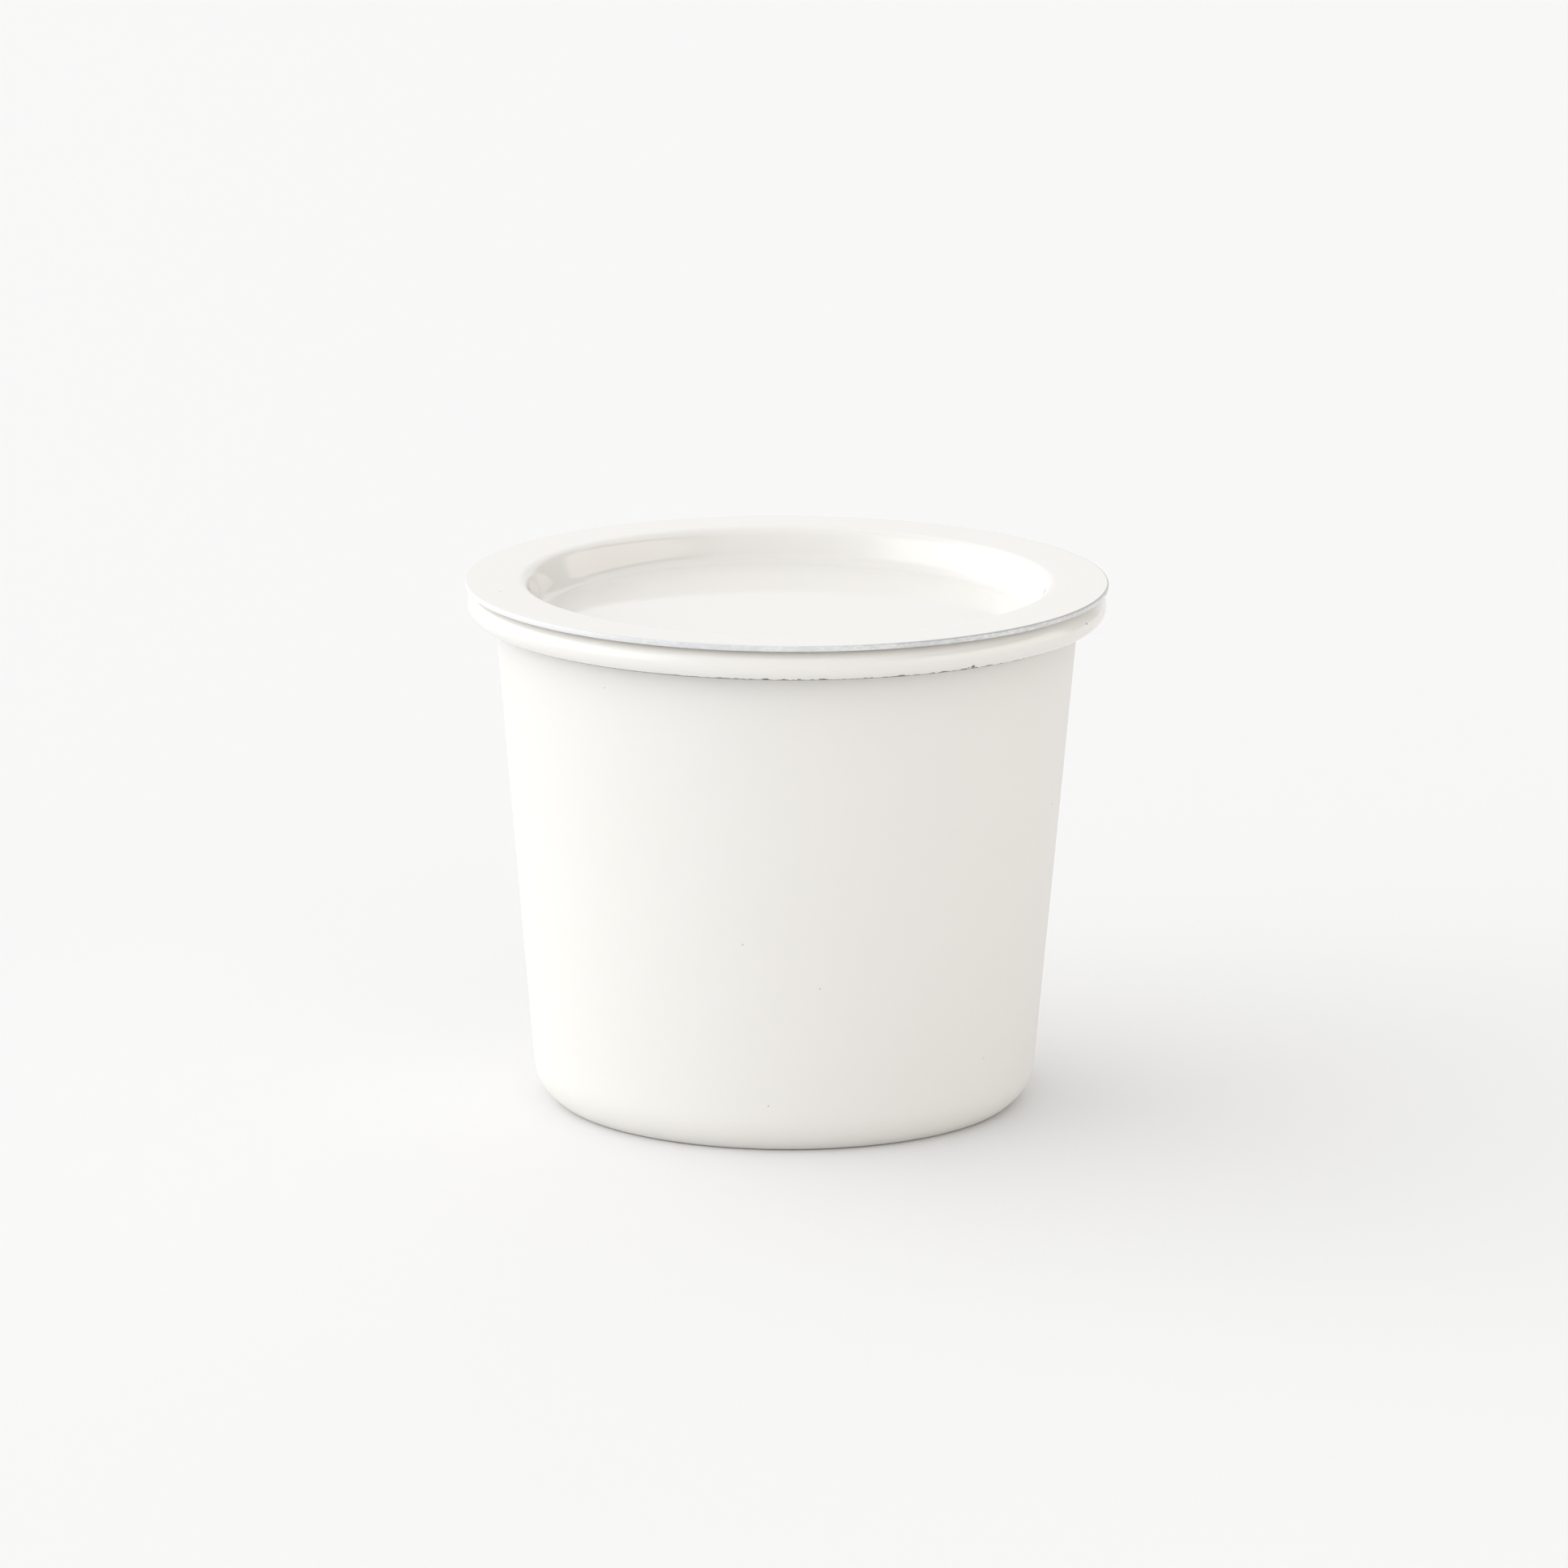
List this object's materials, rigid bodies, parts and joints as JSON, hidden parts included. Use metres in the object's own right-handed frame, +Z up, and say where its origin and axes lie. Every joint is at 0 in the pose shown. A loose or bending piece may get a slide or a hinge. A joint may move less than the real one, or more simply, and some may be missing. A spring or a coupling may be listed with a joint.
{
  "type": "storage canister",
  "caption": "Tapered enamelled steel canister with a rolled rim, a plug-in sealing lid and a dished, stackable outer lid.",
  "frame": {"origin": "centre of the circle that the pot stands on, at the level of the surface it stands on", "axes": "+Z up along the axis of revolution; +X to the right and +Y away from a viewer in front"},
  "size_m": [0.107, 0.107, 0.088],
  "materials": {
    "pot_enamel": "off-white vitreous enamel on drawn steel, satin matt outside, glossy on the rim and inside",
    "lid_enamel": "glossy off-white vitreous enamel on pressed steel",
    "seal_plastic": "soft milky white plastic, slightly translucent"
  },
  "bodies": {
    "pot": {"pot_body": "pot_enamel"},
    "seal": {"seal_lid": "seal_plastic"},
    "lid": {"outer_lid": "lid_enamel"}
  },
  "joints": [
    {"name": "seal_lift", "type": "slide", "parent": "pot", "child": "seal", "axis": [0, 0, 1], "range_m": [0, 0.05]},
    {"name": "lid_lift", "type": "slide", "parent": "seal", "child": "lid", "axis": [0, 0, 1], "range_m": [0, 0.05]}
  ]
}
